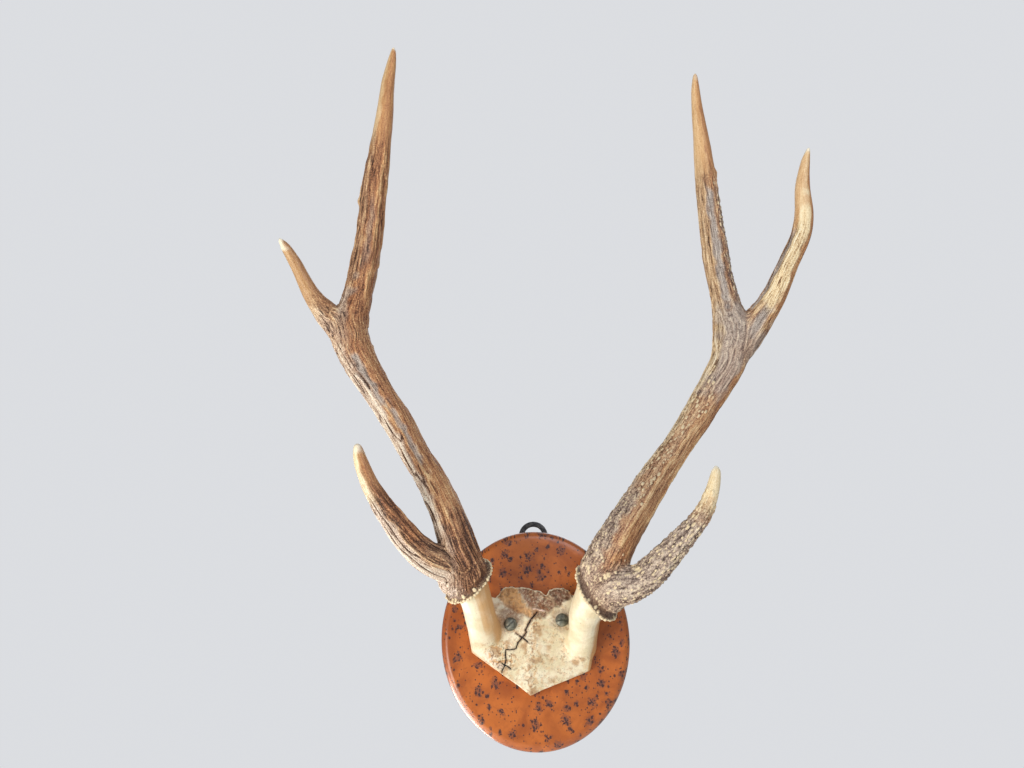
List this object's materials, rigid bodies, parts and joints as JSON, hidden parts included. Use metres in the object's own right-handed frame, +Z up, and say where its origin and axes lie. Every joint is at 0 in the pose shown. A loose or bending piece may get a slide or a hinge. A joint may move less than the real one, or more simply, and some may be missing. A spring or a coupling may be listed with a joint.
{
  "type": "mounted deer antlers",
  "caption": "Wall trophy: a pair of branching deer antlers with a sawn skull plate, screwed to an oval burr-wood plaque with a steel hanger.",
  "frame": {"origin": "centre of the plaque's flat back, which lies against the wall", "axes": "+Z up as it hangs, +X to the viewer's right, and the trophy stands out from the wall towards -Y"},
  "size_m": [0.5383, 0.1309, 0.7002],
  "materials": {
    "plaque_wood": "satin polished orange-brown burr wood with dark purple-grey spots",
    "bone": "dry cream bone with brown stains and a dark open suture",
    "left_antler": "brown antler with pale raised ridges, smooth tan tips and a beaded burr",
    "right_antler": "brown and grey antler with pale pearls and ridges, smooth tan tips and a beaded burr",
    "screw_steel": "dull dark green-grey steel",
    "hanger_steel": "dark grey blackened steel"
  },
  "bodies": {
    "root": {"plaque": "plaque_wood", "skull_plate": "bone", "left_beam": "left_antler", "left_brow_tine": "left_antler", "left_outer_tine": "left_antler", "left_inner_tine": "left_antler", "right_beam": "right_antler", "right_brow_tine": "right_antler", "right_outer_tine": "right_antler", "right_inner_tine": "right_antler", "left_screw": "screw_steel", "right_screw": "screw_steel", "hanger_plate": "hanger_steel", "hanger_screw_upper": "hanger_steel", "hanger_screw_lower": "hanger_steel"}
  },
  "joints": []
}
